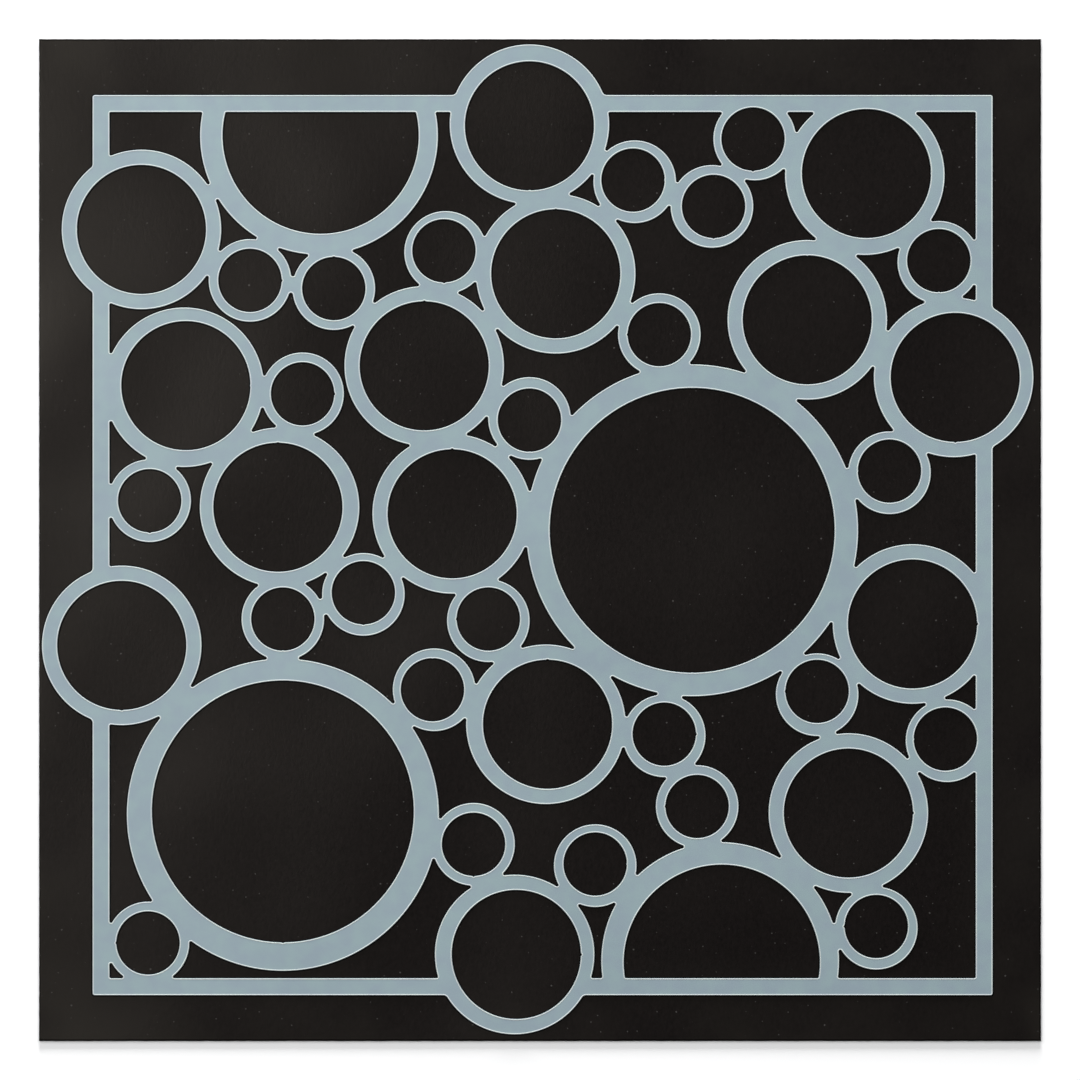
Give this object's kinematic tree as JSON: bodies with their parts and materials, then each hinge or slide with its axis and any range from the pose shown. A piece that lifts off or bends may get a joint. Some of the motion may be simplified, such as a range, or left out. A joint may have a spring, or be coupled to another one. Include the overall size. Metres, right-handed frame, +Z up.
{
  "type": "circle template",
  "caption": "Square plastic stencil sheet of overlapping circle cut-outs in a thin frame, lying on its black backing card.",
  "frame": {"origin": "middle of the backing card's underside", "axes": "+Z up out of the card's face, +Y towards the template's top edge, +X to its right"},
  "size_m": [0.1524, 0.1524, 0.0008],
  "materials": {
    "card": "matte",
    "film": "satin"
  },
  "bodies": {
    "card": {"backing_card": "card"},
    "template": {"template": "film"}
  },
  "joints": [
    {"name": "template_lift", "type": "slide", "parent": "card", "child": "template", "axis": [0, 0, 1], "range_m": [0, 0.05]}
  ]
}
